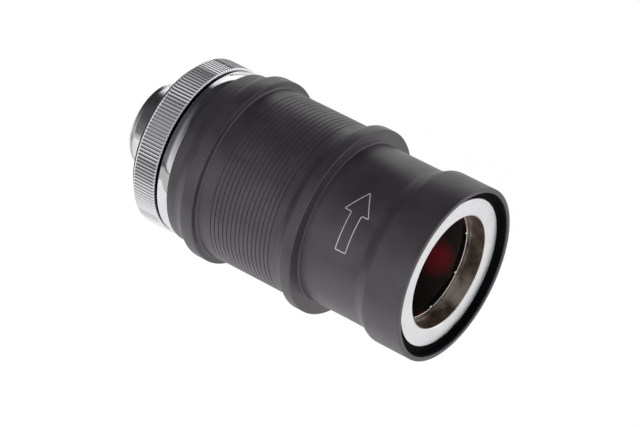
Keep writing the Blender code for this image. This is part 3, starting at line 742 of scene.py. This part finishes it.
def build_mark(neck):
    """A thin outlined arrow engraved round the neck."""
    neckline = ARROW_TIP - ARROW_HEAD
    half = [(-ARROW_SHAFT, ARROW_TAIL), (-ARROW_SHAFT, neckline), (-ARROW_BARB, neckline)]
    corners = [*half, (0.0, ARROW_TIP), *((-across, along) for across, along in reversed(half))]
    flat = bmesh.new()
    face = flat.faces.new([flat.verts.new((ARROW_STATION + x, y, 0.0)) for x, y in corners])
    bmesh.ops.bevel(flat, geom=face.verts[:], offset=ARROW_EDGE, offset_type="OFFSET", segments=3,
                    profile=0.5, affect="VERTICES", clamp_overlap=True, material=-1)
    bmesh.ops.inset_region(flat, faces=flat.faces[:], thickness=ARROW_LINE, use_even_offset=True,
                           use_boundary=True)
    inner = [f for f in flat.faces if not any(e.is_boundary for e in f.edges)]
    bmesh.ops.delete(flat, geom=inner, context="FACES")
    for i in range(1, MARK_SLICES):
        cut = ARROW_TAIL + (ARROW_TIP - ARROW_TAIL) * i / MARK_SLICES
        bmesh.ops.bisect_plane(flat, geom=flat.verts[:] + flat.edges[:] + flat.faces[:], dist=WELD,
                               plane_co=(0, cut, 0), plane_no=(0, 1, 0))
    bmesh.ops.solidify(flat, geom=flat.faces[:], thickness=ARROW_DEPTH)
    lowest = min(vert.co.z for vert in flat.verts)
    for vert in flat.verts:
        radius = neck + ARROW_PROUD + vert.co.z - lowest - ARROW_DEPTH
        angle = ARROW_ANGLE - vert.co.y / neck
        vert.co = (vert.co.x, -radius * math.sin(angle), radius * math.cos(angle))
    bmesh.ops.recalc_face_normals(flat, faces=flat.faces[:])
    finish_piece("direction_arrow", flat, "housing", finish("engraved_mark"))


# ---------------------------------------------------------------- socket end

def build_socket():
    """The flanged bush of the open end, with the lock ring and the liner behind it."""
    chosen = settings().socket
    back = high("hollow_spindle") + GAP
    sleeve_end = low("right_top_hat") - 0.8 * GAP
    outer = bore("right_top_hat") + 0.8 * MM
    outline = [
        (FACE, FLANGE, 0.18 * MM), (back, FLANGE, 0), (back, outer, 0), (sleeve_end, outer, 0),
        (sleeve_end, SOCKET, 0.1 * MM), (FACE - chosen.bevel, SOCKET, 0.08 * MM),
        (FACE, SOCKET + chosen.bevel, 0.08 * MM),
    ]
    turned("top_hat_turned", outline, "spindle", finish("silver_and_bore"), ["right_top_hat"])
    build_lock_ring(chosen)
    refined("spindle_bore_liner", "spindle", finish("liner_coat"), LINER_BREAK, STEPS)


def build_lock_ring(chosen):
    """The thin bright ring at the bottom of the socket, with round notches scooped from its front edge."""
    back, front = low("socket_lock_ring"), high("socket_lock_ring")
    inner, outer = bore("socket_lock_ring"), rim("socket_lock_ring")
    blank = outline_from([(front, outer, 0), (back, outer, 0), (back, inner, 0.1 * MM),
                          (front, inner, 0.14 * MM)])
    spin_outline(blank, STEPS)
    piece = finish_piece("lock_ring_turned", blank, "spindle", finish("chrome_lock_ring"),
                         ["socket_lock_ring"])
    tools = bmesh.new()
    for i in range(chosen.notches):
        lay_out = (Matrix.Rotation(TAU * i / chosen.notches, 4, "X")
                   @ Matrix.Translation((front, 0.0, -inner)))
        bmesh.ops.create_uvsphere(tools, u_segments=TOOL_COLUMNS, v_segments=TOOL_ROWS,
                                  radius=chosen.notch_radius, matrix=lay_out)
    apply_cut(piece, tools)


def apply_cut(piece, tools):
    """Cuts the bmesh of tools from the piece, and keeps the result as its plain mesh."""
    mesh = bpy.data.meshes.new("tools")
    tools.to_mesh(mesh)
    tools.free()
    cutter = bpy.data.objects.new("tools", mesh)
    bpy.context.scene.collection.objects.link(cutter)
    modifier = piece.modifiers.new("cut", "BOOLEAN")
    modifier.operation = "DIFFERENCE"
    modifier.solver = "EXACT"
    modifier.object = cutter
    graph = bpy.context.evaluated_depsgraph_get()
    result = bpy.data.meshes.new_from_object(piece.evaluated_get(graph))
    piece.modifiers.clear()
    piece.data = result
    result.set_sharp_from_angle(angle=SHARP_ANGLE)
    bpy.data.objects.remove(cutter, do_unlink=True)


# ---------------------------------------------------------------- spindle

def build_spindle():
    """The stepped spindle, with a rounded nose, a groove near it and a centre hole."""
    refined("hollow_spindle", "spindle", finish("chrome_spindle"), SPINDLE_BREAK, STEPS)


# ---------------------------------------------------------------- cup and adjuster

def build_cup():
    """The chrome cup, with its rubber ring and the seal round the stub."""
    refined("left_bearing_cup", "housing", finish("chrome_cup"), CUP_BREAK, STEPS)
    refined("cup_o_ring", "housing", finish("seal_rubber"))
    refined("left_shaft_seal", "housing", finish("seal_rubber"), RACE_BREAK)


def build_adjuster():
    """The preload ring with its straight knurl, and the washer that it pushes out."""
    chosen = settings().adjuster
    seat = CREST - chosen.undercut
    root = CREST - chosen.tooth_depth
    knurl_back = RING_BACK - chosen.seam
    outline = [
        (RING_BACK, seat, 0), (knurl_back, seat, 0), (knurl_back, root, 0),
        (knurl_back - KNURL_CHAMFER, CREST, 0), (knurl_back - 1.4 * KNURL_CHAMFER, CREST, 0),
        (RING_FACE + 1.1 * chosen.front_edge, CREST, 0), (RING_FACE + chosen.front_edge, CREST, 0),
        (RING_FACE, CREST - chosen.front_edge, 0),
        (RING_FACE, RING_BORE, 0), (RING_BACK, RING_BORE, 0),
    ]
    columns = COLUMNS_PER_TOOTH * chosen.teeth
    blank = outline_from(outline)
    spin_outline(blank, columns)
    for vert in blank.verts:
        radius = math.hypot(vert.co.y, vert.co.z)
        column = round(math.atan2(vert.co.y, vert.co.z) / (TAU / columns))
        if column % COLUMNS_PER_TOOTH == 0 and radius > root:
            vert.co.y *= root / radius
            vert.co.z *= root / radius
    finish_piece("adjuster_ring_knurled", blank, "adjuster_ring", finish("chrome_knurl"),
                 ["knurled_adjuster_ring"], KNURL_SHARP)
    refined("adjuster_thrust_washer", "adjuster_carrier", finish("washer_plastic"),
            steps=STEPS)


# ---------------------------------------------------------------- bearings and springs

def build_bearings():
    """Round balls and finely turned races and shields in the place of the plain CAD ones."""
    for side in ("right", "left"):
        refined(f"{side}_outer_race", "housing", finish("steel_race"), RACE_BREAK)
        refined(f"{side}_inner_race", "spindle", finish("steel_race"), RACE_BREAK)
        for place_in in ("inboard", "outboard"):
            refined(f"{side}_bearing_shield_{place_in}", "housing", finish("steel_shield"))
        recoat(f"{side}_ball_cage", "nylon_cage")
        build_balls(side)


def build_balls(side):
    """A round ball in the place of each CAD one."""
    for name in sorted(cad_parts):
        if not name.startswith(f"{side}_bearing_ball"):
            continue
        lowest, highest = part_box(name)
        ball = bmesh.new()
        bmesh.ops.create_uvsphere(ball, u_segments=BALL_COLUMNS, v_segments=BALL_ROWS,
                                  radius=(highest.x - lowest.x) / 2,
                                  matrix=Matrix.Translation((lowest + highest) / 2))
        finish_piece(f"{name}_fine", ball, f"{side}_ball_train", finish("steel_ball"), [name],
                     math.pi)


def build_springs():
    """The split circlips and the wave washer keep their CAD shapes, in dark spring steel."""
    for name in ("left_bearing_circlip", "spindle_circlip", "preload_wave_washer"):
        recoat(name, "steel_spring")


# ---------------------------------------------------------------- studio

def build_stage():
    """The light table, the tent, the light and the camera."""
    chosen = settings().studio
    build_floor(chosen)
    build_world()
    build_light(chosen)
    build_camera(chosen)
    bpy.context.scene.view_settings.view_transform = "Standard"


def build_floor(chosen):
    """A pale light table under the sleeve's lands, which metal mirrors as a lit patch with dark round it."""
    floor = bmesh.new()
    bmesh.ops.create_grid(floor, x_segments=1, y_segments=1, size=TABLE_SIZE,
                          matrix=Matrix.Translation((0.0, 0.0, -LAND - TABLE_DROP)))
    mesh = bpy.data.meshes.new("light_table")
    floor.to_mesh(mesh)
    floor.free()
    piece = bpy.data.objects.new("light_table", mesh)
    bpy.context.scene.collection.objects.link(piece)
    material, tree, shader = new_material("pale_table", (0.10, 0.10, 0.10), 0.8, 0.0)
    parts = node(tree, "ShaderNodeSeparateXYZ", Vector=own_place(tree))
    front = ramp(tree, parts.outputs["Y"], -TABLE_LIT, -TABLE_LIT - TABLE_FADE)
    left = ramp(tree, parts.outputs["X"], -3 * TABLE_LIT, -5 * TABLE_LIT)
    table = mixed_colour(tree, front, grey(chosen.table_glow), grey(chosen.front_glow))
    table = mixed_colour(tree, left, table, opaque(DARK_WALL))
    direct = node(tree, "ShaderNodeLightPath").outputs["Is Camera Ray"]
    seen = mixed_colour(tree, direct, table, grey(chosen.backdrop))
    tree.links.new(seen, shader.inputs["Emission Color"])
    shader.inputs["Emission Strength"].default_value = 1.0
    mesh.materials.append(material)


def build_world():
    """A tent whose walls are bright low down and whose ceiling is dark, so that metal shows both."""
    world = bpy.data.worlds.new("tent")
    bpy.context.scene.world = world
    world.use_nodes = True
    tree = world.node_tree
    tree.nodes.clear()
    out = tree.nodes.new("ShaderNodeOutputWorld")
    back = tree.nodes.new("ShaderNodeBackground")
    direction = node(tree, "ShaderNodeTexCoord").outputs["Generated"]
    parts = node(tree, "ShaderNodeSeparateXYZ", Vector=direction)
    dark = opaque(DARK_WALL)
    behind = mixed_colour(tree, ramp(tree, parts.outputs["Z"], *BACK_WALL_TOP), opaque(BACK_WALL), dark)
    facing = mixed_colour(tree, ramp(tree, parts.outputs["Z"], *FRONT_WALL_TOP), opaque(FRONT_WALL), dark)
    tone = mixed_colour(tree, ramp(tree, parts.outputs["Y"], *BACK_TO_FRONT), behind, facing)
    tone = mixed_colour(tree, ramp(tree, parts.outputs["X"], *LEFT_END), tone, dark)
    tone = mixed_colour(tree, ramp(tree, parts.outputs["X"], *RIGHT_END), tone, opaque(RIGHT_WALL))
    tree.links.new(tone, back.inputs["Color"])
    tree.links.new(back.outputs["Background"], out.inputs["Surface"])


def build_light(chosen):
    """One wide softbox in front, which the metal doesn't mirror."""
    lamp = bpy.data.lights.new("front_softbox", "AREA")
    lamp.shape = "RECTANGLE"
    lamp.size, lamp.size_y = SOFTBOX_SIZE
    lamp.energy = chosen.key
    holder = bpy.data.objects.new("front_softbox", lamp)
    bpy.context.scene.collection.objects.link(holder)
    holder.location = SOFTBOX_PLACE
    holder.rotation_euler = (-Vector(SOFTBOX_PLACE)).to_track_quat("-Z", "Y").to_euler()
    holder.visible_glossy = False


def build_camera(chosen):
    """The camera, turned by azimuth and elevation round the point that it aims at."""
    lens = bpy.data.cameras.new("camera")
    lens.lens = chosen.lens
    lens.sensor_width = SENSOR_WIDTH
    lens.clip_start = NEAR_CLIP
    camera = bpy.data.objects.new("camera", lens)
    bpy.context.scene.collection.objects.link(camera)
    level = math.cos(chosen.elevation)
    back = Vector((math.sin(chosen.azimuth) * level, -math.cos(chosen.azimuth) * level,
                   math.sin(chosen.elevation)))
    camera.location = Vector(chosen.aim) + chosen.distance * back
    camera.rotation_euler = (-back).to_track_quat("-Z", "Y").to_euler()
    bpy.context.scene.camera = camera


# ---------------------------------------------------------------- operators and panel

class BRACKET_OT_sleeve(Operator):
    """Build the anodised sleeve, its arrow and the seal in its open end"""
    bl_idname = "bracket.sleeve"
    bl_label = "Sleeve"

    def execute(self, context):
        build_sleeve()
        return {"FINISHED"}


class BRACKET_OT_socket(Operator):
    """Build the silver bush, the lock ring and the liner of the open end"""
    bl_idname = "bracket.socket"
    bl_label = "Socket end"

    def execute(self, context):
        build_socket()
        return {"FINISHED"}


class BRACKET_OT_spindle(Operator):
    """Build the stepped spindle"""
    bl_idname = "bracket.spindle"
    bl_label = "Spindle"

    def execute(self, context):
        build_spindle()
        return {"FINISHED"}


class BRACKET_OT_cup(Operator):
    """Build the chrome cup with its rubber ring and seal"""
    bl_idname = "bracket.cup"
    bl_label = "Cup"

    def execute(self, context):
        build_cup()
        return {"FINISHED"}


class BRACKET_OT_adjuster(Operator):
    """Build the knurled preload ring and its thrust washer"""
    bl_idname = "bracket.adjuster"
    bl_label = "Adjuster"

    def execute(self, context):
        build_adjuster()
        return {"FINISHED"}


class BRACKET_OT_bearings(Operator):
    """Build both ball bearings"""
    bl_idname = "bracket.bearings"
    bl_label = "Bearings"

    def execute(self, context):
        build_bearings()
        return {"FINISHED"}


class BRACKET_OT_springs(Operator):
    """Give the circlips and the wave washer their finish"""
    bl_idname = "bracket.springs"
    bl_label = "Spring rings"

    def execute(self, context):
        build_springs()
        return {"FINISHED"}


class BRACKET_OT_stage(Operator):
    """Build the light table, the lights and the camera"""
    bl_idname = "bracket.stage"
    bl_label = "Stage"

    def execute(self, context):
        build_stage()
        return {"FINISHED"}


OPERATORS = (BRACKET_OT_sleeve, BRACKET_OT_socket, BRACKET_OT_spindle, BRACKET_OT_cup, BRACKET_OT_adjuster,
             BRACKET_OT_bearings, BRACKET_OT_springs, BRACKET_OT_stage)


class BRACKET_PT_panel(Panel):
    """The pieces of the bottom bracket and their settings"""
    bl_idname = "BRACKET_PT_panel"
    bl_label = "Bottom bracket"
    bl_space_type = "VIEW_3D"
    bl_region_type = "UI"
    bl_category = "Bracket"

    def draw(self, context):
        for operator in OPERATORS:
            self.layout.operator(operator.bl_idname)
        for group in (context.scene.bracket.sleeve, context.scene.bracket.adjuster,
                      context.scene.bracket.socket, context.scene.bracket.studio):
            box = self.layout.box()
            for key in group.__annotations__:
                box.prop(group, key)


CLASSES = (SleeveSettings, AdjusterSettings, SocketSettings, StudioSettings, BracketSettings, *OPERATORS,
           BRACKET_PT_panel)


def register():
    for cls in CLASSES:
        bpy.utils.register_class(cls)
    bpy.types.Scene.bracket = PointerProperty(type=BracketSettings)


def unregister():
    del bpy.types.Scene.bracket
    for cls in reversed(CLASSES):
        bpy.utils.unregister_class(cls)


def main():
    register()
    bpy.ops.bracket.sleeve()
    bpy.ops.bracket.socket()
    bpy.ops.bracket.spindle()
    bpy.ops.bracket.cup()
    bpy.ops.bracket.adjuster()
    bpy.ops.bracket.bearings()
    bpy.ops.bracket.springs()
    bpy.ops.bracket.stage()


if __name__ == "__main__":
    main()
